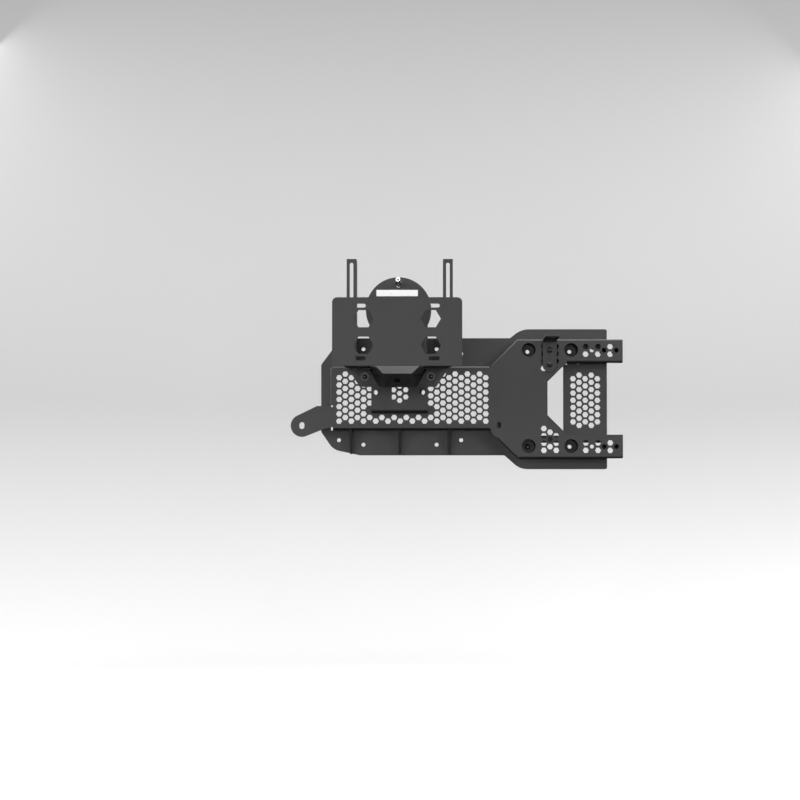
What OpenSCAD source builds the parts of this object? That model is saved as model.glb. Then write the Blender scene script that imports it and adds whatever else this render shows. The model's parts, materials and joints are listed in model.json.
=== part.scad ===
// Spare tire carrier for a swing-out tailgate.
// X runs along the tailgate, Y goes into it, Z is up. The origin is the centre of
// the tailgate bolt pattern, on the back face of the base plate.

/* [Base plate] */
// Thickness of the base plate, the panel and the tire mount
steel_t = 5; // [4:0.5:6]
// Diameter of the tailgate bolt holes
tailgate_hole_d = 10.5; // [8:0.5:12]
// Width of the inner tailgate bolt rectangle
inner_bolts_w = 193; // [180:1:200]
// Height of the inner tailgate bolt rectangle
inner_bolts_h = 252; // [246:1:256]
// Width of the outer tailgate bolt rectangle
outer_bolts_w = 322; // [316:1:326]
// Height of the outer tailgate bolt rectangle
outer_bolts_h = 228; // [222:1:232]

/* [Panel] */
// Distance from the tailgate to the front face of the panel
panel_depth = 45; // [40:1:55]
// Size across the flats of the hexagonal perforations
hex_af = 14; // [10:0.5:14.5]
// Inner diameter of the recess tubes
recess_d = 36; // [30:1:38]
// Diameter of the bolt holes at the bottom of the recesses
recess_hole_d = 10.5; // [9:0.5:14]

/* [Tire mount] */
// Diameter of the wheel disc
disc_d = 164; // [150:1:180]
// Height of the wheel centre above the origin
wheel_z = 203; // [195:1:210]
// Distance from the tailgate to the front face of the wheel disc
wheel_depth = 181; // [170:1:190]
// Diameter of the wheel's bolt circle
wheel_pcd = 127; // [112:0.5:130]
// Thread diameter of the wheel studs
stud_d = 14; // [12:1:14]
// Length of the wheel studs in front of the disc
stud_len = 65; // [40:1:70]
// How far the tire mount can be raised
lift_travel = 50; // [25:25:50]

/* [Number plate holder] */
// Width of the number plate holder
holder_w = 311; // [300:1:320]
// Height of the number plate holder
holder_h = 166; // [160:1:170]
// Distance from the tailgate to the front of the holder
holder_depth = 333; // [320:1:345]
// Thickness of the holder's sheet
sheet_t = 3; // [2:0.5:4]

/* [Uprights] */
// Width of each slotted upright
upright_w = 25.5; // [22:0.5:28]
// Top of the uprights above the origin
upright_top = 357; // [300:0.5:380]
// Width of the slot in each upright
slot_w = 9.5; // [7:0.5:11]

/* [Hidden] */
$fn = 64;
e = 0.5;                    // overlap of a cutter past the face that it cuts
gap = 0.3;                  // clearance between pieces that slide past each other

// ---- panel and base plate
mid_z = -7.5;               // height that both arms are symmetrical about
panel_left = -181;
panel_right = 581;          // end of the arms
panel_top = 76.5;
panel_bottom = -88;
step_x = 235;               // where the panel widens towards the arms
arm_top = 147;
arm_bottom = -163;
arm_in_top = 87;            // inner edges of the arms
arm_in_bottom = -102;
window_x = 385;             // left edge of the gap between the arms
inner_x = 436;              // where the gap reaches its full height
base_right = 545;           // end of the base plate
arm_flange_y = -25;         // back of the arms' flanges past the base plate
panel_corner_r = 9;
relief_d = 5;               // reliefs at the ends of the bends
reliefs = [[step_x, panel_top], [303, 144.5], [235.5, -89.5], [304, -157.5]];
hex_r = hex_af / sqrt(3);
hex_dx = 15.92;
hex_dz = 18.9;
hex_x0 = -158;
hex_cols = 25;
hex_rows = 7;
hex_z0 = [47, 56.45];       // top hole of the odd and of the even columns
recess_x = [336, 446.5];
recess_z = [119, -131.5];
recess_wall = 3;
arm_hex_x0 = 484.5;
arm_hex_z = [118, -133];
side_hex_x0 = 375.5;        // group of holes between the recesses
hinge_cols = [3, 5];        // columns of the arm groups that hold the hinge screws
hinge_hole_d = 12.5;        // round holes in front of them
cup_depth = 28;             // from the back of the panel to the seat of the hinge screws
tab_c = [-255, -78.5];
tab_r = 29;

// ---- tire mount
mount_y = -73;              // front face of the mount base
mount_w = 146;
mount_bottom = -45.5;
mount_top = 244;
mount_hole = [59, 6.4];     // round holes of the mount base
bend_r = 8;
column_w = 134;
column_z = [36, 240];
disc_t = 8;
post_d = 48;
post_wall = 3;
post_y = [-225, -110];
slider_d = post_d - 2 * post_wall - 2 * gap;
slider_wall = 4;
slider_y = [-232, -100];
lift_x = 45;                // slots that the lift bolts slide in
lift_bolt_z = [-20, 8];
lift_bolt_d = 10;
index_x = 64;               // row of index holes beside each slot
index_d = 14;
index_z = 8;
window_z = [-28, 62];       // window in the panel behind the tire mount
window_w = [-20.5, 26];
stud_angles = [90, 234, 306];
spare_angles = [18, 162];

// ---- number plate holder
holder_z = 44;              // lower edge of the holder
knee_y = -240;              // front face of the lower plate
knee_z = 51.5;
lower_w = [249, 188];       // lower plate, width at its top and at its bottom
lower_z = 4.5;
flange_w = 253;
cutout_w = 128;             // opening in the flange above the camera housing
spine_t = 5;
screw_x = 81;               // screws of the camera housing
screw_z = 29;
housing_y = -310;           // front of the camera housing
housing_top = 30;           // height of its front edge
housing_wall = 2.5;
face_run = 28;              // how far its sloping face runs back, over a height of housing_top
camera_tilt = atan(face_run / housing_top);
camera_z = 14.2;            // middle of the opening in that face
camera_y = housing_y + (housing_top - camera_z) * face_run / housing_top;
badge_z = 220;
badge_w = 99;
badge_h = 15;
bracket_z = [193, 230];     // badge bracket, lower and upper edge

// ---- uprights
upright_x = 113;            // inner side of each upright
upright_y = -46;
upright_bottom = 84;
upright_t = 3;
foot_w = 62;
foot_top = 152;
foot_screw_z = 96;
slot_len = 140;
slot_top = 9.5;             // from the end of an upright to its slot
foot_x = [-1, 1] * (upright_x + upright_w / 2);
foot_head_d = 12;           // head of the studs that hold the feet

// ---- antenna bracket
antenna_x = 390.6;
antenna_w = 36.3;
antenna_t = 4;
antenna_reach = 84;
antenna_z = [81, 118];      // heights of its screws

// ---- helpers

// a flat shape drawn in X and Z, made into a plate that starts at y and is t thick
module plate(y, t) {
    translate([0, y + t, 0]) rotate([90, 0, 0]) linear_extrude(height = t) children();
}

// a cylinder along Y, from y and len long
module pin(x, y, z, d, len, fn = 64) {
    translate([x, y, z]) rotate([-90, 0, 0]) cylinder(d = d, h = len, $fn = fn);
}

function along(p, q) = (q - p) / norm(q - p);
// the direction into the shape, for an outline listed anticlockwise
function inward(p, q) = let (u = along(p, q)) [-u[1], u[0]];

// the points of one rounded corner: p is [x, z, radius]
function corner(a, p, b, n = 6) =
    let (c = [p[0], p[1]], u = along(c, [a[0], a[1]]), v = along(c, [b[0], b[1]]),
         half = acos(u * v) / 2, m = along([0, 0], u + v),
         centre = c + m * p[2] / sin(half),
         s = c + u * p[2] / tan(half) - centre,
         side = sign(u[0] * v[1] - u[1] * v[0]), turn = 180 - 2 * half)
    [for (i = [0:n]) let (w = side * turn * i / n * -1)
        centre + [s[0] * cos(w) - s[1] * sin(w), s[0] * sin(w) + s[1] * cos(w)]];

// an outline of [x, z] points, where a third number rounds that corner
function rounded(pts) = let (n = len(pts)) [
    for (i = [0:n - 1])
        each len(pts[i]) < 3 ? [pts[i]] : corner(pts[(i + n - 1) % n], pts[i], pts[(i + 1) % n])
];

// where the line from s touches a circle, on its left (1) or right (-1)
function touch(s, c, r, side) =
    let (v = c - s, d = norm(v), w = atan2(v[1], v[0]) + side * asin(r / d))
    s + sqrt(d * d - r * r) * [cos(w), sin(w)];

// a wall bent back from the edge p-q, from y0 to y1
module flange(p, q, t, y0, y1) {
    n = inward(p, q) * t;
    plate(y0, y1 - y0) polygon([p, q, q + n, p + n]);
}

// takes the sharp front edge off a sheet along p-q, to a bend of radius r
module bend_cut(p, q, y, r) {
    u = along(p, q);
    translate([p[0], y, p[1]]) rotate([0, -atan2(u[1], u[0]), 0]) difference() {
        translate([0, -e, -e]) cube([norm(q - p), r + e, r + e]);
        translate([-e, r, r]) rotate([0, 90, 0]) cylinder(r = r, h = norm(q - p) + 2 * e);
    }
}

module hex() { circle(r = hex_r, $fn = 6); }

module slot2d(w, len) {
    square([w, len - w], center = true);
    for (s = [-1, 1]) translate([0, s * (len - w) / 2]) circle(d = w);
}

module at_foot_points() {
    for (x = foot_x) translate([x, foot_screw_z]) children();
}

module at_rect(w, h) {
    for (x = [-w / 2, w / 2], z = [-h / 2, h / 2]) translate([x, z]) children();
}

module at_recesses() {
    for (x = recess_x, z = recess_z) translate([x, z]) children();
}

module washer(x, y, z, d, h, bore) {
    difference() {
        pin(x, y, z, d, h);
        pin(x, y - e, z, bore, h + 2 * e);
    }
}

module nut(x, y, z, af, h, bore) {
    difference() {
        pin(x, y, z, af * 2 / sqrt(3), h, 6);
        pin(x, y - e, z, bore, h + 2 * e);
    }
}

// domed head on its seat at y, with a hexagon socket, shank behind it
module button_screw(x, y, z, head_d, head_h, shank_d, len) {
    dome_r = (head_d * head_d / 4 + head_h * head_h) / (2 * head_h);
    difference() {
        intersection() {
            pin(x, y - head_h, z, head_d, head_h);
            translate([x, y - head_h + dome_r, z]) sphere(r = dome_r);
        }
        pin(x, y - head_h - e, z, shank_d * 0.72, head_h * 0.65 + e, 6);
    }
    pin(x, y - e / 2, z, shank_d, len + e / 2);
}

// ---- base plate
module tailgate_holes() {
    at_rect(inner_bolts_w, inner_bolts_h) circle(d = tailgate_hole_d);
    at_rect(outer_bolts_w, outer_bolts_h) circle(d = tailgate_hole_d);
}

module side_grille() {
    for (k = [0:4], j = [0:(k % 2 == 0 ? 6 : 7)])
        translate([456 + 16 * k, (k % 2 == 0 ? 48 : 57.5) - 18.95 * j]) hex();
}

module base_plate() {
    color("#262626") difference() {
        base_sheet();
        for (x = foot_x) pin(x, -2, foot_screw_z, foot_head_d, 2 + e);
    }
}

module base_sheet() {
    plate(-steel_t, steel_t) difference() {
        polygon(rounded([
            [-208, -92, 12], [-176, -139, 40], [-105, -154, 30], [275, -154, 6],
            [316, -190.5, 50], [base_right, -190.5, 5], [base_right, 178.5, 5],
            [319, 178.5, 60], [290, 155, 6],
            [-156, 155, 6], [-208, 85, 12]
        ]));
        tailgate_holes();
        at_recesses() circle(d = recess_hole_d);
        side_grille();
        polygon(rounded([[-171, -74, 5], [237, -74, 5], [237, 70, 5], [-171, 70, 5]]));
        polygon(rounded([[368, -102, 4], [430, -102, 4], [430, 84, 8], [368, 84, 4]]));
        polygon(rounded([[364, -151, 5], [419, -151, 5], [419, -121, 5], [364, -121, 5]]));
        translate([474, 98]) square([base_right - 473, 27]);
        translate([arm_hex_x0 + hex_dx, 122.3]) circle(d = 12);
        translate([474, -151]) square([base_right - 473, 30]);
        translate([468.5, 96.5]) circle(d = 20);
        translate([438, 88]) circle(d = 6);
        for (z = [-22, -83.5]) translate([-180, z]) slot2d(6, 10);
        at_foot_points() circle(d = 8.5);
    }
}

// ---- front panel
panel_c = [panel_left + panel_corner_r, panel_top - panel_corner_r];
low_break = [step_x + 22, -110];                      // where the lower slope starts
top_edge = [[step_x, panel_top], [panel_c[0], panel_top]];
top_slope = [[step_x + arm_top - panel_top, arm_top], [step_x, panel_top]];
top_arm = [[panel_right, arm_top], top_slope[0]];
top_inner = [[inner_x, arm_in_top], [panel_right, arm_in_top]];
low_inner = [[panel_right, arm_in_bottom], [inner_x, arm_in_bottom]];
low_arm = [[step_x + 75, arm_bottom], [panel_right, arm_bottom]];
low_slope = [low_break + [1, -1], low_arm[0]];
low_edge = [[-174, panel_bottom], [step_x, panel_bottom]];
left_edge = [[panel_left, panel_c[1]], [panel_left, -22]];

module tab() {
    a = touch([-215.5, -27], tab_c, tab_r, -1);
    b = touch([-206, -90], tab_c, tab_r, 1);
    polygon([[-170, -27], [-215.5, -27], a, tab_c, b, [-206, -90], [-184.5, -84], [-170, -84]]);
    translate(tab_c) circle(r = tab_r);
}

module panel_outline() {
    polygon([
        [panel_left, panel_bottom], [step_x, panel_bottom], [step_x + 10, -106],
        low_break, low_arm[0], low_arm[1], low_inner[0], low_inner[1],
        [window_x, -51], [window_x, 36], top_inner[0], top_inner[1],
        top_arm[0], top_arm[1], top_slope[1], [panel_left, panel_top]
    ]);
    tab();
}

// the perforated field, left plain where the tire mount covers it
module panel_grille() {
    for (k = [0:hex_cols - 1], j = [0:hex_rows - 1]) {
        x = hex_x0 + hex_dx * k;
        z = hex_z0[k % 2] - hex_dz * j;
        covered = abs(x) < mount_w / 2 && z > -50;
        corner_hole = abs(x) < 82 && z > -50 && z < -30;
        if (!covered && !corner_hole) translate([x, z]) hex();
    }
}

// holes of one arm, around its middle height zc
module arm_grille(zc) {
    for (k = [0:5]) translate([arm_hex_x0 + hex_dx * k, zc]) {
        if (k % 2 == 0) for (s = [-1, 1]) translate([0, s * 9.8]) hex();
        if (k == 1) circle(d = 10.5);
        if (k == 3 || k == 5) circle(d = hinge_hole_d);
    }
}

module side_group(s) {
    for (k = [0:2], j = [0:(k == 0 ? 3 : 2)])
        translate([side_hex_x0 + 16 * k, mid_z + s * (135.2 - (k == 1 ? 9.5 : 0) - hex_dz * j)])
            hex();
}

module panel_holes() {
    panel_grille();
    for (z = arm_hex_z) arm_grille(z);
    for (s = [-1, 1]) side_group(s);
    at_recesses() circle(d = recess_d);
    translate([258.5, -76.7]) slot2d(11, 16);
    translate([-255, -78]) slot2d(13.4, 18);
    polygon(rounded([for (c = [[0, 0], [1, 0], [1, 1], [0, 1]]) [window_w[c[0]], window_z[c[1]], 4]]));
    for (s = [-1, 1]) {
        translate([s * lift_x, (lift_bolt_z[0] + lift_bolt_z[1] + lift_travel) / 2])
            slot2d(lift_bolt_d + 1, lift_bolt_z[1] - lift_bolt_z[0] + lift_travel + lift_bolt_d + 1);
        for (i = [0:2]) translate([s * index_x, index_z + i * 25]) circle(d = index_d);
    }
    for (z = [-26, -86]) translate([-176.5, z]) slot2d(5, 9);
}

// rounds the front of the panel's upper left corner off like its bends
module corner_cut() {
    plate(-panel_depth - e, steel_t + 2 * e) translate(panel_c) difference() {
        translate([-panel_corner_r - e, 0]) square(panel_corner_r + e);
        circle(r = panel_corner_r);
    }
    translate([panel_c[0], -panel_depth, panel_c[1]]) rotate([-90, 180, 0])
        rotate_extrude(angle = 90) difference() {
            translate([panel_corner_r - steel_t, -e]) square([steel_t + e, steel_t + e]);
            translate([panel_corner_r - steel_t, steel_t]) circle(r = steel_t);
        }
}

// a wall behind the edge p-q of the panel, back to the base plate or to y1
module panel_flange(p, q, y1 = -steel_t) {
    flange(p, q, steel_t, steel_t - panel_depth, y1);
}

module panel_flanges() {
    x_end = base_right - 2;
    for (s = [top_edge, top_slope, left_edge, low_edge, low_slope]) panel_flange(s[0], s[1]);
    for (s = [top_arm, low_arm, top_inner, low_inner]) {
        panel_flange(s[0], s[1], arm_flange_y);
        panel_flange([min(s[0][0], x_end), s[0][1]], [min(s[1][0], x_end), s[1][1]]);
    }
    plate(steel_t - panel_depth, panel_depth - 2 * steel_t) intersection() {
        translate(panel_c) difference() {
            circle(r = panel_corner_r);
            circle(r = panel_corner_r - steel_t);
        }
        translate(panel_c - [2 * panel_corner_r, 0]) square(2 * panel_corner_r);
    }
}

module front_panel() {
    color("#262626") difference() {
        union() {
            difference() {
                plate(-panel_depth, steel_t) difference() { panel_outline(); panel_holes(); }
                for (s = [top_edge, top_slope, top_arm, top_inner, left_edge, low_edge, low_arm])
                    bend_cut(s[0], s[1], -panel_depth, steel_t);
                corner_cut();
            }
            panel_flanges();
        }
        for (p = reliefs) pin(p[0], -panel_depth - e, p[1], relief_d, panel_depth);
    }
}

// ---- pieces welded between the base plate and the panel
module gusset(x) {
    t = 6;
    tip = [6, -151];            // width and height of the lower end
    color("#262626") translate([x - t / 2, 0, 0]) rotate([90, 0, 90]) linear_extrude(height = t)
        polygon([[-panel_depth + 3, panel_bottom], [-steel_t, panel_bottom],
                 [-steel_t, tip[1]], [-steel_t - tip[0], tip[1]]]);
}
module gusset_left() { gusset(-128); }
module gusset_center() { gusset(0); }
module gusset_right() { gusset(130); }

module recess_tube(x, z) {
    len = panel_depth - 2 * steel_t;
    color("#262626") difference() {
        pin(x, -panel_depth + steel_t, z, recess_d + 2 * recess_wall, len);
        pin(x, -panel_depth + steel_t - e, z, recess_d, len + 2 * e);
    }
}
module recess_tube_upper_left() { recess_tube(recess_x[0], recess_z[0]); }
module recess_tube_upper_right() { recess_tube(recess_x[1], recess_z[0]); }
module recess_tube_lower_left() { recess_tube(recess_x[0], recess_z[1]); }
module recess_tube_lower_right() { recess_tube(recess_x[1], recess_z[1]); }

module recess_bolt() {
    color("#1c1c1c")
        button_screw(recess_x[0], -steel_t, recess_z[1], 14, 3, 10, steel_t + 1);
}

// cups behind the arm ends, and the screws that go through them into the tailgate hinges
module at_hinge_screws() {
    for (k = hinge_cols, z = arm_hex_z) translate([arm_hex_x0 + hex_dx * k, 0, z]) children();
}
module hinge_cups() {
    y = steel_t - panel_depth;
    color("#1c1c1c") at_hinge_screws() difference() {
        pin(0, y, 0, hinge_hole_d + 3, cup_depth + 4);
        pin(0, y - e, 0, hinge_hole_d, cup_depth + e);
        pin(0, y, 0, 6.5, cup_depth + 4 + e);
    }
}
module hinge_screws() {
    seat = steel_t - panel_depth + cup_depth;
    head_h = 6;
    color("#141414") at_hinge_screws() {
        difference() {
            pin(0, seat - head_h, 0, 10, head_h);
            pin(0, seat - head_h - e, 0, 5 * 2 / sqrt(3), 3.5 + e, 6);
        }
        pin(0, seat - e, 0, 6, -seat - 2 + e);
    }
}

// ---- slotted uprights of the brake light
module upright() {
    mid = upright_x + upright_w / 2;
    color("#262626") {
        plate(upright_y, upright_t) difference() {
            translate([upright_x, upright_bottom])
                square([upright_w, upright_top - upright_bottom]);
            translate([mid, upright_top - slot_top - slot_len / 2]) slot2d(slot_w, slot_len);
            translate([mid, foot_screw_z]) circle(d = 16);
        }
        translate([upright_x, upright_y + upright_t, upright_bottom])
            cube([upright_t, -steel_t - upright_y - upright_t, upright_top - upright_bottom]);
        plate(-steel_t - upright_t, upright_t) difference() {
            translate([upright_x + upright_w - foot_w, upright_bottom])
                square([foot_w, foot_top - upright_bottom]);
            translate([inner_bolts_w / 2, inner_bolts_h / 2]) circle(d = tailgate_hole_d);
            translate([mid, foot_screw_z]) circle(d = 8.5);
        }
    }
}
module upright_right() { upright(); }
module upright_left() { mirror([1, 0, 0]) upright(); }

// studs pressed in flush from the back of the base plate, with nuts on the feet
module upright_screws() {
    head_h = 2;
    color("#1c1c1c") for (x = foot_x) {
        pin(x, -head_h, foot_screw_z, foot_head_d, head_h);
        pin(x, -steel_t - upright_t - 9, foot_screw_z, 8, steel_t + upright_t + 9 - head_h);
    }
}
module upright_nuts() {
    color("#1c1c1c") for (x = foot_x) nut(x, -steel_t - upright_t - 6.5, foot_screw_z, 13, 6.5, 8);
}

// ---- antenna bracket
module antenna_bracket() {
    t = antenna_t;
    x = antenna_x - antenna_w / 2;
    round_z = 61 + antenna_w / 2;
    y = -panel_depth;
    color("#262626") {
        plate(y - t, t) difference() {
            union() {
                translate([x, round_z]) square([antenna_w, arm_top - 1 - round_z]);
                translate([antenna_x, round_z]) circle(d = antenna_w);
            }
            for (z = antenna_z) translate([antenna_x, z]) circle(d = 8.5);
        }
        difference() {
            translate([x, y - antenna_reach, arm_top - t])
                cube([antenna_w, antenna_reach - t, t]);
            translate([antenna_x, y - antenna_reach + 24, arm_top - t - e])
                cylinder(d = 13, h = t + 2 * e);
        }
        translate([x, y - t, arm_top - t]) rotate([0, 90, 0]) cylinder(r = t, h = antenna_w);
    }
}
module antenna_screws() {
    color("#1c1c1c") for (z = antenna_z)
        button_screw(antenna_x, -panel_depth - antenna_t - 1.5, z, 15, 4.5, 8, 25.5);
}
module antenna_washers() {
    color("#1c1c1c") for (z = antenna_z)
        washer(antenna_x, -panel_depth - antenna_t - 1.5, z, 20, 1.5, 8);
}
module antenna_nuts() {
    y = steel_t - panel_depth;
    color("#1c1c1c") for (z = antenna_z) {
        washer(antenna_x, y, z, 22, 2, 8);
        nut(antenna_x, y + 2, z, 13, 8, 8);
    }
}

// ---- tire mount
module mount_hexes() {
    for (k = [-1:1], j = [0:2])
        if (k == 0 || j < 2)
            translate([0.4 + 15.7 * k, (k == 0 ? 22 : 12.6) - 18.4 * j]) circle(r = 0.91 * hex_r, $fn = 6);
}

module mount_base() {
    depth = -panel_depth - gap - mount_y;
    inner = [-mount_w / 2 + steel_t, mount_y + steel_t, mount_bottom + steel_t];
    rim = 15;                   // left around the opening behind the hub column
    color("#262626") difference() {
        union() {
            plate(mount_y, steel_t) translate([-mount_w / 2, mount_bottom])
                square([mount_w, mount_top - mount_bottom]);
            translate([-mount_w / 2, mount_y, mount_bottom]) cube([mount_w, depth, steel_t]);
            for (x = [-mount_w / 2, mount_w / 2 - steel_t]) translate([x, mount_y, mount_bottom])
                cube([steel_t, depth, mount_top - mount_bottom]);
            translate(inner) cube([mount_w - 2 * steel_t, bend_r - steel_t, bend_r - steel_t]);
        }
        bend_cut([-mount_w / 2 - e, mount_bottom], [mount_w / 2 + e, mount_bottom],
                 mount_y, bend_r);
        translate([0, mount_y + bend_r, mount_bottom + bend_r]) rotate([0, 90, 0])
            cylinder(r = bend_r - steel_t, h = mount_w - 2 * steel_t, center = true);
        plate(mount_y - e, steel_t + 2 * e) {
            mount_hexes();
            for (s = [-1, 1]) translate([s * mount_hole[0], mount_hole[1]]) circle(d = 14);
            translate([-column_w / 2 + rim, column_z[0] + rim])
                square([column_w - 2 * rim, column_z[1] - column_z[0] - 2 * rim]);
        }
    }
}

// plate at the back of the mount base, clamped to the panel by the lift bolts
module mount_back() {
    w = mount_w - 2 * steel_t;
    z0 = mount_bottom + steel_t;
    top = 74;
    color("#262626") plate(-panel_depth - gap - steel_t, steel_t) difference() {
        translate([-w / 2, z0]) square([w, top - z0]);
        translate([window_w[0], window_z[0]])
            square([window_w[1] - window_w[0], window_z[1] - window_z[0]]);
        for (s = [-1, 1]) {
            for (z = lift_bolt_z) translate([s * lift_x, z]) circle(d = lift_bolt_d + 0.5);
            translate([s * index_x, index_z]) circle(d = index_d + 2);
        }
    }
}

module at_lift_bolts() {
    for (s = [-1, 1], z = lift_bolt_z) translate([s * lift_x, 0, z]) children();
}
module lift_bolts() {
    y = -panel_depth - gap - steel_t;
    color("#1c1c1c") at_lift_bolts() button_screw(0, y, 0, 18, 6, lift_bolt_d, 24);
}
module lift_nuts() {
    y = -panel_depth + steel_t + gap;
    color("#1c1c1c") at_lift_bolts() {
        washer(0, y, 0, 21, 2, lift_bolt_d);
        nut(0, y + 2, 0, 17, 9, lift_bolt_d);
    }
}

module hub_column() {
    h = column_z[1] - column_z[0];
    y0 = -wheel_depth + disc_t;
    depth = mount_y - y0;
    color("#262626") difference() {
        translate([-column_w / 2, y0, column_z[0]]) cube([column_w, depth, h]);
        translate([-column_w / 2 + steel_t, y0 + steel_t, column_z[0] + steel_t])
            cube([column_w - 2 * steel_t, depth, h - 2 * steel_t]);
        pin(0, y0 - e, wheel_z, post_d, steel_t + 2 * e);
        for (a = concat(stud_angles, spare_angles))
            pin(wheel_pcd / 2 * cos(a), y0 - e, wheel_z + wheel_pcd / 2 * sin(a), 24,
                steel_t + 2 * e);
    }
}

module wheel_disc() {
    color("#262626") plate(-wheel_depth, disc_t) difference() {
        translate([0, wheel_z]) circle(d = disc_d, $fn = 128);
        translate([0, wheel_z]) circle(d = post_d);
        for (a = concat(stud_angles, spare_angles))
            translate([wheel_pcd / 2 * cos(a), wheel_z + wheel_pcd / 2 * sin(a)])
                circle(d = stud_d + 0.5);
    }
}

module wheel_studs() {
    tip = 4;
    color("silver") for (a = stud_angles)
        translate([wheel_pcd / 2 * cos(a), -wheel_depth, wheel_z + wheel_pcd / 2 * sin(a)])
            rotate([90, 0, 0]) {
                cylinder(d = stud_d, h = stud_len - tip);
                translate([0, 0, stud_len - tip]) cylinder(d1 = stud_d, d2 = stud_d - 5, h = tip);
                translate([0, 0, -disc_t]) cylinder(d = stud_d + 0.5, h = disc_t);
                translate([0, 0, -disc_t - 4]) cylinder(d = 22, h = 4);
            }
}

module post_tube() {
    len = post_y[1] - post_y[0];
    color("#262626") difference() {
        pin(0, post_y[0], wheel_z, post_d, len, 96);
        pin(0, post_y[0] - e, wheel_z, post_d - 2 * post_wall, len + 2 * e, 96);
        translate([0, post_y[0] + 11, wheel_z - post_d / 2 - e]) cylinder(d = 8, h = post_wall + 2);
    }
}

module post_set_screw() {
    tip = slider_d / 2 + gap;
    color("#1c1c1c") translate([0, post_y[0] + 11, wheel_z - tip]) rotate([180, 0, 0]) {
        cylinder(d = 8, h = 12);
        difference() {
            translate([0, 0, post_d / 2 - tip]) cylinder(d = 13 * 2 / sqrt(3), h = 5, $fn = 6);
            translate([0, 0, -e]) cylinder(d = 8, h = 20);
        }
    }
}

// ---- number plate holder on its sliding post
module post_slider() {
    len = slider_y[1] - slider_y[0];
    color("#303030") difference() {
        pin(0, slider_y[0], wheel_z, slider_d, len, 96);
        pin(0, slider_y[0] + 6, wheel_z, slider_d - 2 * slider_wall, len, 96);
        pin(0, slider_y[0] - e, wheel_z, 12, 6 + 2 * e);
    }
}

module holder_spine() {
    y = knee_y + sheet_t;
    foot = 14;
    color("#262626") plate(y, spine_t) difference() {
        union() {
            translate([0, wheel_z]) circle(r = 20);
            translate([-20, 60]) square([40, wheel_z - 60]);
            polygon([[-90, foot], [90, foot], [100, 42], [40, 62], [20, 90],
                     [-20, 90], [-40, 62], [-100, 42]]);
        }
        translate([0, wheel_z]) circle(d = 12.5);
        for (s = [-1, 1]) translate([s * screw_x, screw_z]) circle(d = 6.5);
    }
}

module spine_bolt() {
    y = knee_y + sheet_t;
    color("#1c1c1c") {
        pin(0, y - 2.5, wheel_z, 28, 2.5);
        pin(0, y - 10, wheel_z, 19 * 2 / sqrt(3), 7.5, 6);
        pin(0, y - 1, wheel_z, 12, spine_t + 1 + 6 + 8);
    }
}

module holder_openings() {
    mid = holder_z + holder_h / 2;
    for (sx = [-1, 1], sz = [-1, 1]) {
        translate([sx * 88.3, mid + sz * 63.1]) rotate(90) slot2d(9.6, 27);
        translate([sx * 80.4, mid + sz * 31.8]) circle(d = 41.5 * 2 / sqrt(3), $fn = 6);
    }
}

// section of the sloping flange in Y and Z, from the bend of the front plate to the knee
module flange_section() {
    y0 = sheet_t - holder_depth;
    run = knee_y - y0;
    slope = atan2(knee_z - holder_z, run);
    translate([y0, holder_z + sheet_t]) circle(r = sheet_t);
    translate([y0, holder_z]) rotate(slope) square([(run + sheet_t) / cos(slope) - sheet_t, sheet_t]);
    translate([knee_y, knee_z]) intersection() {
        circle(r = sheet_t);
        translate([-sheet_t * sin(slope), 0]) square(2 * sheet_t);
    }
}

module plate_holder() {
    wing = flange_w / 2 + 3;    // the front plate reaches lower on both sides of the flange
    bend_z = holder_z + sheet_t;
    color("#262626") {
        plate(-holder_depth, sheet_t) difference() {
            polygon(rounded([
                [-holder_w / 2, holder_z], [-wing, holder_z], [-wing, bend_z],
                [-cutout_w / 2, bend_z], [-cutout_w / 2, bend_z - 1], [cutout_w / 2, bend_z - 1],
                [cutout_w / 2, bend_z], [wing, bend_z], [wing, holder_z], [holder_w / 2, holder_z],
                [holder_w / 2, holder_z + holder_h, 12], [-holder_w / 2, holder_z + holder_h, 12]
            ]));
            holder_openings();
        }
        for (x = [-flange_w / 2, cutout_w / 2]) translate([x, 0, 0])
            rotate([90, 0, 90]) linear_extrude(height = (flange_w - cutout_w) / 2) flange_section();
        plate(knee_y, sheet_t) difference() {
            polygon([[-lower_w[0] / 2, knee_z], [-lower_w[1] / 2, lower_z],
                     [lower_w[1] / 2, lower_z], [lower_w[0] / 2, knee_z]]);
            for (s = [-1, 1]) translate([s * screw_x, screw_z]) circle(d = 6.5);
            translate([-15, 5]) square([30, 34]);
        }
    }
}

function rect(w, z0, z1, r) = [[-w / 2, z0, r], [w / 2, z0, r], [w / 2, z1, r], [-w / 2, z1, r]];

module badge_bracket() {
    color("#262626") plate(-holder_depth + sheet_t, 2)
        polygon(rounded(rect(104, bracket_z[0], bracket_z[1], 3)));
}

module badge_plate() {
    color("white") plate(-holder_depth + sheet_t - 1.5, 1.5)
        polygon(rounded(rect(badge_w, badge_z - badge_h / 2, badge_z + badge_h / 2, 1)));
}

// strip across the housing that ends a sloping face: w wide, 1 mm high and deep
module strip(y, z, w) {
    translate([-w / 2, y, z]) cube([w, 1, 1]);
}

// snout of the housing, with a face that looks down; its inside is smaller by shrink
module snout(shrink) {
    back = shrink / cos(camera_tilt);
    slope = face_run / housing_top;
    hull() {
        plate(knee_y - (shrink > 0 ? 1 - e : 1), 1) polygon([
            [-71.5 + shrink, 47.5 - shrink], [-49.5 + shrink, 8 + shrink],
            [49.5 - shrink, 8 + shrink], [71.5 - shrink, 47.5 - shrink]
        ]);
        strip(housing_y + back + slope * shrink, housing_top - 1 - shrink, 70 - 2 * shrink);
        strip(housing_y + face_run + back - slope * shrink, shrink, 74 - 2 * shrink);
    }
}

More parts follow.
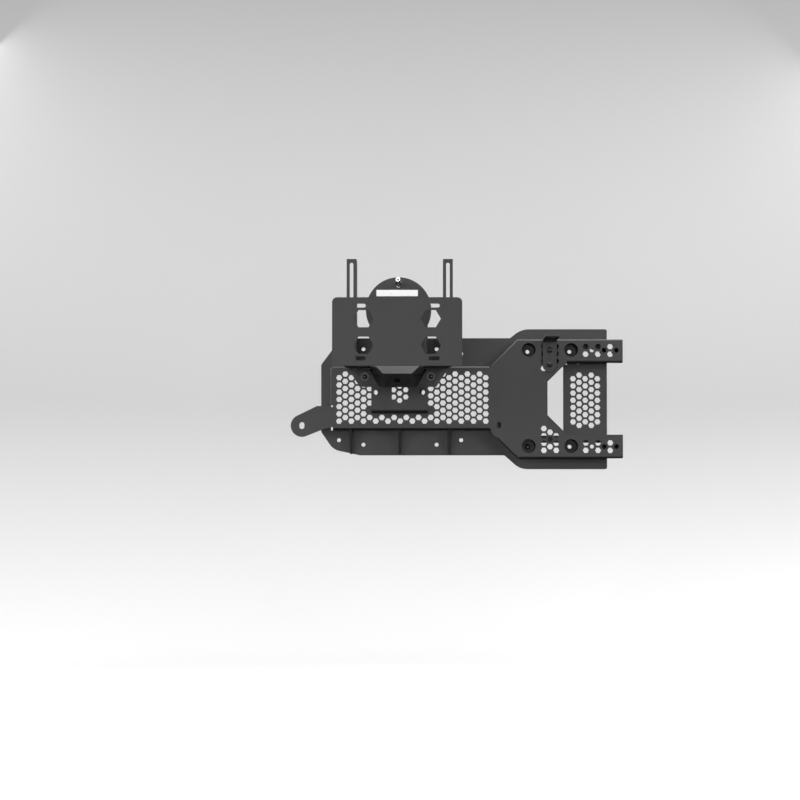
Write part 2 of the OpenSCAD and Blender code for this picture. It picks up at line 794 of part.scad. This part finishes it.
// roof of the housing, which rises through the opening in the flange
module hood(shrink) {
    back = shrink / cos(camera_tilt);
    box_y = -268;
    box_z = [34, 62];
    hull() {
        strip(housing_y + back + face_run / housing_top * shrink, housing_top - 1 - shrink,
              70 - 2 * shrink);
        translate([-62 + shrink, box_y + shrink, box_z[0]])
            cube([124 - 2 * shrink, knee_y - box_y - shrink + (shrink > 0 ? e : 0),
                  box_z[1] - box_z[0] - shrink]);
    }
}

// the camera's own axis, square to the sloping face
module at_camera() {
    translate([0, camera_y, camera_z]) rotate([camera_tilt, 0, 0]) children();
}

module camera_housing() {
    color("#1f1f1f") {
        difference() {
            union() {
                snout(0);
                hood(0);
            }
            snout(housing_wall);
            hood(housing_wall);
            at_camera() pin(0, -2, 0, 16, housing_wall + 3);
        }
        for (s = [0, 1]) mirror([s, 0, 0]) plate(knee_y - 4, 4) difference() {
            polygon(rounded([[48.2, 7.5], [83, 7.5, 6], [110, 48, 7], [68.5, 47]]));
            translate([screw_x, screw_z]) circle(d = 6.5);
        }
    }
}

module housing_screws() {
    color("#1c1c1c") for (s = [-1, 1])
        button_screw(s * screw_x, knee_y - 5.2, screw_z, 12, 3.6, 6, 5.2 + sheet_t + spine_t + 8);
}
module housing_washers() {
    color("#1c1c1c") for (s = [-1, 1]) washer(s * screw_x, knee_y - 5.2, screw_z, 21, 1.2, 6);
}
module housing_nuts() {
    color("#1c1c1c") for (s = [-1, 1])
        nut(s * screw_x, knee_y + sheet_t + spine_t, screw_z, 10, 5, 6);
}

module camera_body() {
    y = housing_wall + 0.05;
    color("#101010") at_camera() difference() {
        union() {
            pin(0, y, 0, 20, 18);
            pin(0, y + 17, 0, 12, 7);
        }
        pin(0, y - e, 0, 17, 9 + e);
    }
}
module camera_lens() {
    y = housing_wall + 1;
    r = 10;
    color("#05070a") at_camera() intersection() {
        pin(0, y, 0, 16.8, housing_wall + 9.05 - y);
        translate([0, y + r, 0]) sphere(r = r);
    }
}

base_plate();
front_panel();
gusset_left();
gusset_center();
gusset_right();
recess_tube_upper_left();
recess_tube_upper_right();
recess_tube_lower_left();
recess_tube_lower_right();
recess_bolt();
hinge_cups();
hinge_screws();
upright_left();
upright_right();
upright_screws();
upright_nuts();
antenna_bracket();
antenna_screws();
antenna_washers();
antenna_nuts();
mount_base();
mount_back();
lift_bolts();
lift_nuts();
hub_column();
wheel_disc();
wheel_studs();
post_tube();
post_set_screw();
post_slider();
holder_spine();
spine_bolt();
plate_holder();
badge_bracket();
badge_plate();
camera_housing();
housing_screws();
housing_washers();
housing_nuts();
camera_body();
camera_lens();
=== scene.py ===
"""The looks of the spare tire carrier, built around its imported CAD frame. Metres, +Z up."""
import json
import math

import bmesh
import bpy
from mathutils import Matrix, Vector, noise


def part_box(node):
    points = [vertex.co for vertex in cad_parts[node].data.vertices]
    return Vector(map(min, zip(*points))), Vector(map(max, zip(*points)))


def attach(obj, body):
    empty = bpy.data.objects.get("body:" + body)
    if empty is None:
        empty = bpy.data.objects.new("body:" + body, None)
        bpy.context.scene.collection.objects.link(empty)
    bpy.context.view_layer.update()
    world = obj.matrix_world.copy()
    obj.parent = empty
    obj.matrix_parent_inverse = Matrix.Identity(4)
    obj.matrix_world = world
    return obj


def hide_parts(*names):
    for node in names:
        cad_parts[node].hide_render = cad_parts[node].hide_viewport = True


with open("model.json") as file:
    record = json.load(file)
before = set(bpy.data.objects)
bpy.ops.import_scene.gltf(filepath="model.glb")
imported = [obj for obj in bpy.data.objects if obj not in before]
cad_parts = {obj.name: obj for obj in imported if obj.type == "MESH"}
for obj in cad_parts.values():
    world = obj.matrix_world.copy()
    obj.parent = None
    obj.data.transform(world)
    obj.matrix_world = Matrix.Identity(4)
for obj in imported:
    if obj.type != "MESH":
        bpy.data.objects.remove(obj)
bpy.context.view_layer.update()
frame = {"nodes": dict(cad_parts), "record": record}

MM = 0.001
EDGE_WIDTH = 0.45 * MM      # the rounding of every sharp edge
MERGE = 0.002 * MM          # vertices of the CAD mesh that are closer than this are one
CREASE = 40                 # degrees, above which a threaded piece's edge stays sharp
scene = bpy.context.scene
nodes = frame["nodes"]
bodies = frame["record"]["behaviour"]["bodies"]
body_of = {node: body for body, members in bodies.items() for node in members}
slot_of = {node: ob.data.materials[0].name for node, ob in nodes.items()}


# ---- materials

class Shader:
    """A Principled material under construction."""

    def __init__(self, name, rough, metal=0.0, **fixed):
        self.material = bpy.data.materials.new(name)
        self.material.use_nodes = True
        self.tree = self.material.node_tree
        self.bsdf = self.tree.nodes["Principled BSDF"]
        self.coords = self.add("ShaderNodeTexCoord").outputs["Object"]
        self.bsdf.inputs["Roughness"].default_value = rough
        self.bsdf.inputs["Metallic"].default_value = metal
        for socket, value in fixed.items():
            self.bsdf.inputs[socket.replace("_", " ")].default_value = value

    def add(self, kind, **settings):
        made = self.tree.nodes.new(kind)
        for name, value in settings.items():
            setattr(made, name, value)
        return made

    def link(self, output, socket):
        self.tree.links.new(output, socket)

    def noise(self, size, detail=2.0, roughness=0.5):
        """Noise whose features are about size across."""
        made = self.add("ShaderNodeTexNoise")
        self.link(self.coords, made.inputs["Vector"])
        made.inputs["Scale"].default_value = 1 / size
        made.inputs["Detail"].default_value = detail
        made.inputs["Roughness"].default_value = roughness
        return made.outputs["Fac"]

    def spread(self, value, low, high, start=0.3, end=0.7):
        made = self.add("ShaderNodeMapRange")
        self.link(value, made.inputs["Value"])
        for socket, number in (("From Min", start), ("From Max", end),
                               ("To Min", low), ("To Max", high)):
            made.inputs[socket].default_value = number
        return made.outputs["Result"]

    def math(self, operation, a, b):
        made = self.add("ShaderNodeMath", operation=operation)
        for socket, value in zip(made.inputs, (a, b)):
            if isinstance(value, float):
                socket.default_value = value
            else:
                self.link(value, socket)
        return made.outputs["Value"]

    def mix(self, factor, a, b):
        """A colour between a and b, which are colours or outputs."""
        made = self.add("ShaderNodeMix", data_type="RGBA")
        self.link(factor, made.inputs["Factor"])
        for socket, value in ((made.inputs[6], a), (made.inputs[7], b)):
            if isinstance(value, tuple):
                socket.default_value = (*value, 1)
            else:
                self.link(value, socket)
        return made.outputs[2]

    def bump(self, *heights):
        """heights are (output, depth in metres) pairs, from the coarsest to the finest."""
        normal = None
        for height, depth in heights:
            made = self.add("ShaderNodeBump")
            made.inputs["Strength"].default_value = 1.0
            made.inputs["Distance"].default_value = depth
            self.link(height, made.inputs["Height"])
            if normal is not None:
                self.link(normal, made.inputs["Normal"])
            normal = made.outputs["Normal"]
        self.link(normal, self.bsdf.inputs["Normal"])

    def paint(self, colour=None, rough=None):
        if colour is not None:
            self.link(colour, self.bsdf.inputs["Base Color"])
        if rough is not None:
            self.link(rough, self.bsdf.inputs["Roughness"])
        return self.material


def grey(value, warmth=0.0):
    return (value * (1 + warmth), value, value * (1 - warmth))


def powder_coat(name, shade, rough):
    """Fine-textured satin powder coat: sandy grain over a slow ripple, shinier on the edges, where a painted
    highlight lightens it.
    """
    s = Shader(name, rough, Specular_IOR_Level=0.5)
    grain = s.noise(0.9 * MM, 3.0, 0.62)
    peel = s.noise(4.5 * MM, 1.0)
    cloud = s.noise(70 * MM, 3.0)
    edge = s.add("ShaderNodeAttribute", attribute_name="edge").outputs["Fac"]
    # painted highlight on the bevelled edges: this patchy edge mask lightens the colour there (and,
    # separately, lowers the roughness)
    edge_highlight = s.math("MULTIPLY", edge, s.spread(s.noise(6 * MM, 4.0), 0.25, 1.0, 0.35, 0.65))
    field = s.mix(s.spread(cloud, 0.0, 1.0), grey(shade * 0.9, -0.01), grey(shade * 1.1, -0.01))
    speckled = s.mix(s.spread(grain, 0.0, 0.35, 0.45, 0.7), field, grey(shade * 1.7, -0.01))
    # painted highlight: the edges are lightened towards grey(shade * 2.6)
    colour = s.mix(s.math("MULTIPLY", edge_highlight, 0.55), speckled, grey(shade * 2.6))
    dull = s.spread(cloud, rough - 0.04, rough + 0.05)
    rough_out = s.math("SUBTRACT", dull, s.math("MULTIPLY", edge_highlight, 0.12))
    s.bump((peel, 0.03 * MM), (grain, 0.09 * MM))
    return s.paint(colour, rough_out)


def black_oxide(name, shade):
    """Oiled black steel of the fasteners, with turning marks, and a painted highlight that lightens the
    edges.
    """
    s = Shader(name, 0.38, 0.0, Specular_IOR_Level=0.6)
    blotch = s.noise(5 * MM, 4.0, 0.6)
    grain = s.noise(0.5 * MM, 2.0)
    edge = s.add("ShaderNodeAttribute", attribute_name="edge").outputs["Fac"]
    # painted highlight on the bevelled edges: this patchy edge mask lightens the colour there and lowers the
    # roughness
    edge_highlight = s.math("MULTIPLY", edge, s.spread(s.noise(2.5 * MM, 4.0), 0.1, 1.0, 0.35, 0.65))
    base = s.mix(s.spread(blotch, 0.0, 1.0), grey(shade * 0.75), grey(shade * 1.3))
    colour = s.mix(s.math("MULTIPLY", edge_highlight, 0.6), base, grey(0.11))
    rough = s.math("SUBTRACT", s.spread(blotch, 0.3, 0.46), s.math("MULTIPLY", edge_highlight, 0.08))
    s.bump((grain, 0.02 * MM))
    return s.paint(colour, rough)


def chrome(name):
    """Bright zinc-chromed studs, a little dull in the thread's grain."""
    s = Shader(name, 0.14, 1.0)
    haze = s.noise(3 * MM, 4.0, 0.65)
    colour = s.mix(s.spread(haze, 0.0, 1.0), grey(0.80), grey(0.9))
    s.bump((s.noise(0.4 * MM, 2.0), 0.006 * MM))
    return s.paint(colour, s.spread(haze, 0.1, 0.24))


def moulded_plastic(name, shade, rough, grain_size):
    """Moulded black plastic with a leather-like grain, and a painted highlight that lightens the bevelled
    edges.
    """
    s = Shader(name, rough, Specular_IOR_Level=0.45)
    cells = s.add("ShaderNodeTexVoronoi", feature="F1")
    s.link(s.coords, cells.inputs["Vector"])
    cells.inputs["Scale"].default_value = 1 / grain_size
    flow = s.noise(25 * MM, 2.0)
    edge = s.add("ShaderNodeAttribute", attribute_name="edge").outputs["Fac"]
    base = s.mix(s.spread(flow, 0.0, 1.0), grey(shade * 0.88), grey(shade * 1.12))
    # painted highlight: the bevelled edges are lightened towards grey(shade * 2.2)
    colour = s.mix(s.math("MULTIPLY", edge, 0.3), base, grey(shade * 2.2))
    s.bump((cells.outputs["Distance"], 0.06 * MM), (s.noise(0.4 * MM, 2.0), 0.015 * MM))
    return s.paint(colour, s.spread(flow, rough - 0.04, rough + 0.06))


def enamel(name, shade):
    """White baked enamel of the blank badge."""
    s = Shader(name, 0.34, Coat_Weight=0.3, Coat_Roughness=0.2)
    flow = s.noise(12 * MM, 3.0)
    colour = s.mix(s.spread(flow, 0.0, 1.0), grey(shade * 0.97, 0.004), grey(shade))
    s.bump((s.noise(1.5 * MM, 2.0), 0.01 * MM))
    return s.paint(colour, s.spread(flow, 0.26, 0.36))


def glass(name):
    """Dark coated lens glass."""
    s = Shader(name, 0.03, Specular_IOR_Level=0.8, Coat_Weight=1.0, Coat_Roughness=0.02)
    ring = s.noise(8 * MM, 1.0)
    return s.paint(s.mix(s.spread(ring, 0.0, 1.0), (0.004, 0.006, 0.012), (0.01, 0.012, 0.02)))


def weld_metal(name, shade):
    """The coat over a weld bead: a little glossier than the sheet's, over the bead's ripples."""
    s = Shader(name, 0.42, Specular_IOR_Level=0.5)
    grain = s.noise(0.9 * MM, 3.0, 0.62)
    field = s.mix(s.spread(s.noise(5 * MM, 2.0), 0.0, 1.0), grey(shade * 0.9), grey(shade * 1.15))
    s.bump((s.noise(1.8 * MM, 2.0), 0.12 * MM), (grain, 0.07 * MM))
    return s.paint(field, s.spread(grain, 0.38, 0.48))


finish_of = {
    "black_powder_coat": powder_coat("powder_coat", 0.024, 0.5),
    "bracket_coat": powder_coat("powder_coat_brackets", 0.022, 0.5),
    "black_fastener": black_oxide("black_oxide", 0.012),
    "stud_chrome": chrome("chromed_steel"),
    "badge_white": enamel("white_enamel", 0.86),
    "housing_plastic": moulded_plastic("grained_plastic", 0.02, 0.5, 1.1 * MM),
    "camera_plastic": moulded_plastic("smooth_plastic", 0.008, 0.36, 0.7 * MM),
    "lens_glass": glass("lens_glass"),
}
bead_finish = weld_metal("coated_weld", 0.022)
# painted shade: a near-black copy of the powder coat for the pieces deep in recesses, standing in for the
# shadow there
painted_recess_shade = powder_coat("powder_coat_painted_recess_shade", 0.005, 0.68)
IN_RECESS = ("recess_tube", "hinge_cups", "hinge_screws")


# ---- pieces

def finish_for(node):
    """The material of a node: the copy darkened with painted shade, deep in recesses, or else its slot's."""
    return painted_recess_shade if node.startswith(IN_RECESS) else finish_of[slot_of[node]]


def to_object(name, bm, node, extra=False, finish=None):
    """A piece from a bmesh. It rides with node's body in node's slot, and replaces node unless extra."""
    mesh = bpy.data.meshes.new(name)
    bm.to_mesh(mesh)
    bm.free()
    for face in mesh.polygons:
        face.use_smooth = True
    piece = bpy.data.objects.new(name, mesh)
    scene.collection.objects.link(piece)
    mesh.materials.append(finish or finish_for(node))
    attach(piece, body_of[node])
    if not extra:
        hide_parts(node)
    return piece


def is_sharp(edge, angle=30):
    return len(edge.link_faces) == 2 and edge.calc_face_angle(0) > math.radians(angle)


def round_edges(bm, edges, width, segments, layer):
    """Bevels edges and marks the new faces, so that the materials can paint a highlight on them."""
    made = bmesh.ops.bevel(bm, geom=edges, offset=width, offset_type="OFFSET", segments=segments,
                           profile=0.5, affect="EDGES", clamp_overlap=True, loop_slide=True)
    for face in made["faces"]:
        face[layer] = 1.0


def softened(node, width, segments=2, wide=None):
    """A node's own shape with its sharp edges rounded.

    wide is (test, width, segments) for the edges that get more.
    """
    bm = bmesh.new()
    bm.from_mesh(nodes[node].data)
    bmesh.ops.remove_doubles(bm, verts=bm.verts, dist=MERGE)
    bmesh.ops.dissolve_limit(bm, angle_limit=math.radians(0.2), verts=bm.verts, edges=bm.edges)
    layer = bm.faces.layers.float.new("edge")
    if wide:
        test, wide_width, wide_segments = wide
        chosen = [e for e in bm.edges if is_sharp(e) and test(e)]
        round_edges(bm, chosen, wide_width, wide_segments, layer)
    round_edges(bm, [e for e in bm.edges if is_sharp(e)], width, segments, layer)
    piece = to_object(node + "_finished", bm, node)
    weighted = piece.modifiers.new("weighted", "WEIGHTED_NORMAL")
    weighted.keep_sharp = False
    weighted.weight = 80


def near(value, target, slack=0.3 * MM):
    return abs(value - target) < slack


def nose_corner(edge):
    """The corners on both sides of the camera housing's sloping face."""
    a, b = (v.co for v in edge.verts)
    at_front = max(a.y, b.y) < NOSE_Y + 36 * MM and min(abs(a.x), abs(b.x)) > 25 * MM
    return at_front and a.x * b.x > 0 and abs(a.z - b.z) > 15 * MM


def column_corner(edge):
    """The long upright corners of the formed column."""
    a, b = (v.co for v in edge.verts)
    return near(a.x, b.x) and abs(a.x) > 60 * MM and near(a.y, b.y) and abs(a.z - b.z) > 0.1


NOSE_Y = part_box("camera_housing")[0][1]
WIDE = {
    "camera_housing": (nose_corner, 7 * MM, 5),
    "hub_column": (column_corner, 4 * MM, 4),
    "mount_base": (column_corner, 2.5 * MM, 3),
}
THREADED = ("wheel_studs",)

for name in nodes:
    if name not in THREADED:
        softened(name, EDGE_WIDTH, wide=WIDE.get(name))


# ---- threads

AROUND = 32                 # vertices around a threaded rod


def ring(bm, frame_at, radius, height, count):
    """A ring of vertices; radius may depend on the angle."""
    out = []
    for i in range(count):
        a = 2 * math.pi * i / count
        r = radius(a) if callable(radius) else radius
        out.append(bm.verts.new(frame_at(r * math.cos(a), r * math.sin(a), height)))
    return out


def bridge(bm, low, high):
    n = len(low)
    for i in range(n):
        bm.faces.new((low[i], low[(i + 1) % n], high[(i + 1) % n], high[i]))


def frame_from(origin, axis):
    """Maps x, y across and h along axis from origin."""
    axis = Vector(axis).normalized()
    side = axis.orthogonal().normalized()
    up = axis.cross(side)
    origin = Vector(origin)
    return lambda x, y, h: origin + side * x + up * y + axis * h


def threaded_rod(bm, origin, axis, diameter, length, pitch, chamfer, plain=0.0):
    """A closed rod with a true helical thread, plain up to that height, and a chamfered end."""
    frame_at = frame_from(origin, axis)
    depth = 0.6 * pitch
    rows_per_turn = 8
    rows = max(2, int(rows_per_turn * (length - plain) / pitch))
    step = (length - plain) / rows

    def radius_at(h):
        tip = length - h
        cap = diameter / 2 - (chamfer - tip if tip < chamfer else 0.0)

        def radius(a):
            if h <= plain:
                return diameter / 2
            turn = (h / pitch - a / (2 * math.pi)) % 1.0
            wave = abs(2 * turn - 1)
            fade = min(1.0, (h - plain) / pitch, max(0.0, tip / pitch))
            cut = depth * fade * min(1.0, max(0.0, 1.35 * wave - 0.2))
            return min(cap, diameter / 2 - cut)
        return radius

    rings = [ring(bm, frame_at, diameter / 2, 0.0, AROUND)]
    if plain > 0:
        rings.append(ring(bm, frame_at, diameter / 2, plain, AROUND))
    for i in range(1, rows + 1):
        h = plain + i * step
        rings.append(ring(bm, frame_at, radius_at(h), h, AROUND))
    tip_radius = diameter / 2 - chamfer - 0.12 * diameter
    rings.append(ring(bm, frame_at, tip_radius, length + 0.02 * diameter, AROUND))
    close_ends(bm, rings)


def islands(node):
    """The boxes of a node's separate solids, each as (low, high)."""
    bm = bmesh.new()
    bm.from_mesh(nodes[node].data)
    bmesh.ops.remove_doubles(bm, verts=bm.verts, dist=MERGE)
    bm.verts.ensure_lookup_table()
    seen, found = set(), []
    for start in bm.verts:
        if start in seen:
            continue
        stack, group = [start], []
        seen.add(start)
        while stack:
            vert = stack.pop()
            group.append(vert.co.copy())
            for edge in vert.link_edges:
                other = edge.other_vert(vert)
                if other not in seen:
                    seen.add(other)
                    stack.append(other)
        found.append((Vector([min(c[i] for c in group) for i in range(3)]),
                      Vector([max(c[i] for c in group) for i in range(3)])))
    bm.free()
    return found


def crease(piece):
    """Keeps the sharp edges of a smooth-shaded piece sharp."""
    bm = bmesh.new()
    bm.from_mesh(piece.data)
    for edge in bm.edges:
        edge.smooth = not is_sharp(edge, CREASE)
    bm.to_mesh(piece.data)
    bm.free()


def close_ends(bm, rings):
    """Skins a stack of rings and caps both of its ends."""
    for low_ring, high_ring in zip(rings, rings[1:]):
        bridge(bm, low_ring, high_ring)
    bm.faces.new(reversed(rings[0]))
    bm.faces.new(rings[-1])


def wheel_studs():
    """Three pressed-in wheel studs with rolled threads, a plain neck and a rounded tip."""
    bm = bmesh.new()
    disc_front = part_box("wheel_disc")[0][1]
    disc_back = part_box("wheel_disc")[1][1]
    for low_corner, high_corner in islands("wheel_studs"):
        x, z = (low_corner.x + high_corner.x) / 2, (low_corner.z + high_corner.z) / 2
        length = disc_front - low_corner.y
        head_d = high_corner.x - low_corner.x
        threaded_rod(bm, (x, disc_front, z), (0, -1, 0), STUD_D, length - 0.3 * MM, STUD_PITCH,
                     plain=STUD_NECK, chamfer=2.6 * MM)
        back = frame_from((x, disc_front, z), (0, 1, 0))
        neck = high_corner.y - disc_front
        seat = disc_back - disc_front
        collar_r, head_r = STUD_D / 2 + 0.2 * MM, head_d / 2
        profile = [(collar_r, 0.0), (collar_r, seat), (head_r - 0.4 * MM, seat), (head_r, seat + 0.6 * MM),
                   (head_r, neck - 0.8 * MM), (head_r - 0.8 * MM, neck)]
        close_ends(bm, [ring(bm, back, radius, height, AROUND) for radius, height in profile])
    bmesh.ops.recalc_face_normals(bm, faces=bm.faces)
    crease(to_object("wheel_studs_threaded", bm, "wheel_studs"))


STUD_D = 14 * MM
STUD_PITCH = 1.5 * MM
STUD_NECK = 6 * MM          # plain part next to the disc
wheel_studs()


def thread_end(node, diameter, pitch, start, end):
    """Threads the free ends of a node's screws, from start to end in Y, just over the CAD's plain shanks."""
    bm = bmesh.new()
    way = 1 if end > start else -1
    for low_corner, high_corner in islands(node):
        x, z = (low_corner.x + high_corner.x) / 2, (low_corner.z + high_corner.z) / 2
        threaded_rod(bm, (x, start, z), (0, way, 0), diameter + 0.06 * MM, abs(end - start) + 0.1 * MM,
                     pitch, chamfer=0.6 * pitch)
    bmesh.ops.recalc_face_normals(bm, faces=bm.faces)
    crease(to_object(node + "_threads", bm, node, extra=True))


def y_span(node):
    low_corner, high_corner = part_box(node)
    return low_corner[1], high_corner[1]


def thread_screws():
    """The ends that stand out of the nuts, and the hinge screws' ends behind the arms."""
    into_nut, hinge_thread = 2 * MM, 9 * MM
    for node, nuts, diameter, pitch in (("lift_bolts", "lift_nuts", 10, 1.5),
                                        ("antenna_screws", "antenna_nuts", 8, 1.25),
                                        ("housing_screws", "housing_nuts", 6, 1.0)):
        thread_end(node, diameter * MM, pitch * MM, y_span(nuts)[1] - into_nut, y_span(node)[1])
    stud_start = y_span("upright_nuts")[0] + into_nut
    thread_end("upright_screws", 8 * MM, 1.25 * MM, stud_start, y_span("upright_screws")[0])
    hinge_end = y_span("hinge_screws")[1]
    thread_end("hinge_screws", 6 * MM, 1.0 * MM, hinge_end - hinge_thread, hinge_end)


thread_screws()


# ---- welds

def bead(name, node, path, width, closed=False):
    """A weld bead along a path of points, half sunk into the joint, with the ripples of its passes."""
    step, pass_length, around = 1.1 * MM, 3.2 * MM, 8
    points = [Vector(p) for p in path]
    spans = list(zip(points, points[1:] + points[:1])) if closed else list(zip(points, points[1:]))
    line = []
    for a, b in spans:
        count = max(1, int((b - a).length / step))
        line += [a.lerp(b, i / count) for i in range(count)]
    if not closed:
        line.append(points[-1])
    bm = bmesh.new()
    rings = []
    total = len(line)
    for i, at in enumerate(line):
        before = line[i - 1] if closed or i else at
        after = line[(i + 1) % total] if closed or i < total - 1 else at
        ahead = (after - before).normalized()
        frame_at = frame_from(at, ahead)
        ripple = 0.1 * math.sin(2 * math.pi * i * step / pass_length)
        swell = 1 + ripple + 0.12 * noise.noise(at * 180)
        if not closed:
            swell *= min(1.0, 0.45 + 0.3 * min(i, total - 1 - i))
        rings.append(ring(bm, frame_at, width / 2 * swell, 0.0, around))
    for low_ring, high_ring in zip(rings, rings[1:] + (rings[:1] if closed else [])):
        bridge(bm, low_ring, high_ring)
    if not closed:
        bm.faces.new(reversed(rings[0]))
        bm.faces.new(rings[-1])
    bmesh.ops.recalc_face_normals(bm, faces=bm.faces)
    to_object(name, bm, node, extra=True, finish=bead_finish)


def box_of(node):
    low_corner, high_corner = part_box(node)
    return Vector(low_corner), Vector(high_corner)


def weld_all():
    """Beads where the gussets, the column, the disc and the post are joined."""
    plate_front = box_of("base_plate")[0].y
    for name in ("gusset_left", "gusset_center", "gusset_right"):
        lo, hi = box_of(name)
        for side, x in (("a", lo.x), ("b", hi.x)):
            path = [(x, plate_front, lo.z + 8 * MM), (x, plate_front, hi.z - 3 * MM)]
            bead(f"weld_{name}_{side}", name, path, 3 * MM)
    lo, hi = box_of("hub_column")
    pan_front = box_of("mount_base")[0].y
    disc_back = box_of("wheel_disc")[1].y
    outline = [(lo.x, pan_front, lo.z), (hi.x, pan_front, lo.z),
               (hi.x, pan_front, hi.z), (lo.x, pan_front, hi.z)]
    bead("weld_column_foot", "hub_column", outline, 4.5 * MM, closed=True)
    lo, hi = box_of("wheel_disc")
    post_lo, post_hi = box_of("post_tube")
    centre = ((lo.x + hi.x) / 2, (lo.z + hi.z) / 2)
    radius = (post_hi.x - post_lo.x) / 2
    circle = [(centre[0] + radius * math.cos(a), lo.y, centre[1] + radius * math.sin(a))
              for a in (2 * math.pi * i / 48 for i in range(48))]
    bead("weld_post", "post_tube", circle, 4.5 * MM, closed=True)
    # the disc's back, on the column's upright sides where both are there
    column_lo, column_hi = box_of("hub_column")
    half = math.sqrt(max(0.0, ((hi.x - lo.x) / 2) ** 2 - column_hi.x ** 2))
    inset = 4 * MM
    for side, x in (("a", column_lo.x), ("b", column_hi.x)):
        path = [(x, disc_back, centre[1] - half + inset),
                (x, disc_back, min(centre[1] + half, column_hi.z) - inset)]
        bead(f"weld_disc_{side}", "wheel_disc", path, 4 * MM)


weld_all()


# ---- stage, light and camera

FLOOR_Z = -0.946
ROOM_CENTRE = (0.0, -1.5)
ROOM_R = 4.9
COVE_R = 1.2
ROOM_TOP = 4.5


def backdrop(shade):
    """A pale round room whose floor sweeps up into its wall. The camera sees it, and it lights nothing."""
    steps, around = 16, 96
    line = [(0.02, FLOOR_Z)]
    line += [(ROOM_R - COVE_R + COVE_R * math.sin(a), FLOOR_Z + COVE_R * (1 - math.cos(a)))
             for a in (math.pi / 2 * i / steps for i in range(steps + 1))]
    line.append((ROOM_R, ROOM_TOP))
    bm = bmesh.new()
    rings = [[bm.verts.new((ROOM_CENTRE[0] + r * math.cos(a), ROOM_CENTRE[1] + r * math.sin(a), z))
              for a in (2 * math.pi * i / around for i in range(around))] for r, z in line]
    for inner, outer in zip(rings, rings[1:]):
        for i in range(around):
            j = (i + 1) % around
            bm.faces.new((inner[i], outer[i], outer[j], inner[j]))
    bm.faces.new(rings[0])
    mesh = bpy.data.meshes.new("backdrop")
    bm.to_mesh(mesh)
    bm.free()
    for face in mesh.polygons:
        face.use_smooth = True
    ob = bpy.data.objects.new("backdrop", mesh)
    scene.collection.objects.link(ob)
    ob.visible_diffuse = False
    ob.visible_glossy = False
    s = Shader("paper", 0.9, Specular_IOR_Level=0.1)
    mesh.materials.append(s.paint(s.mix(s.noise(0.6, 2.0), grey(shade), grey(shade * 1.02))))


def softbox(name, place, target, size, power):
    light = bpy.data.lights.new(name, "AREA")
    light.shape = "RECTANGLE"
    light.size, light.size_y = size
    light.energy = power
    ob = bpy.data.objects.new(name, light)
    scene.collection.objects.link(ob)
    ob.location = place
    ob.visible_camera = False
    ob.rotation_mode = "QUATERNION"
    ob.rotation_quaternion = (Vector(target) - Vector(place)).to_track_quat("-Z", "Y")


def sky(below, above):
    """A studio that is dark below and bright above."""
    world = bpy.data.worlds.new("studio")
    world.use_nodes = True
    tree = world.node_tree
    coords = tree.nodes.new("ShaderNodeTexCoord")
    parts = tree.nodes.new("ShaderNodeSeparateXYZ")
    ramp = tree.nodes.new("ShaderNodeMapRange")
    tree.links.new(coords.outputs["Generated"], parts.inputs[0])
    tree.links.new(parts.outputs["Z"], ramp.inputs["Value"])
    ramp.interpolation_type = "SMOOTHSTEP"
    for socket, value in (("From Min", -0.1), ("From Max", 0.9), ("To Min", below), ("To Max", above)):
        ramp.inputs[socket].default_value = value
    background = tree.nodes["Background"]
    background.inputs["Color"].default_value = (1, 1, 1, 1)
    tree.links.new(ramp.outputs["Result"], background.inputs["Strength"])
    scene.world = world


def camera(place, pitch, yaw, lens, shift):
    """Looks along +Y, raised by pitch and turned left by yaw in degrees."""
    cam = bpy.data.objects.new("camera", bpy.data.cameras.new("camera"))
    scene.collection.objects.link(cam)
    cam.data.lens = lens
    cam.data.sensor_width = 36
    cam.data.shift_x, cam.data.shift_y = shift
    cam.data.clip_end = 50
    cam.location = place
    cam.rotation_mode = "XYZ"
    cam.rotation_euler = (math.radians(90 + pitch), 0, math.radians(yaw))
    scene.camera = cam


SOFTBOXES = {               # place, size, power in watts
    "overhead": ((0.3, -0.35, 2.6), (3.0, 1.4), 112),
    "left": ((-2.9, -3.2, 1.0), (1.8, 1.8), 76),
    "right": ((3.2, -3.2, 1.0), (1.8, 1.8), 78),
    "front": ((-0.3, -4.6, -0.2), (2.6, 1.0), 44),
    "back_left": ((-2.8, 2.4, 1.3), (1.8, 1.8), 80),
    "back_right": ((2.8, 2.4, 1.3), (1.8, 1.8), 80),
}
LIT_POINT = (0.15, 0, 0)

backdrop(0.68)
for name, (place, size, power) in SOFTBOXES.items():
    softbox(name, place, LIT_POINT, size, power)
sky(below=0.02, above=0.7)
camera(place=(0.0737, -3.448, -0.299), pitch=1.05, yaw=0.2456, lens=58.87, shift=(-0.028, 0.108))
scene.view_settings.view_transform = "Standard"
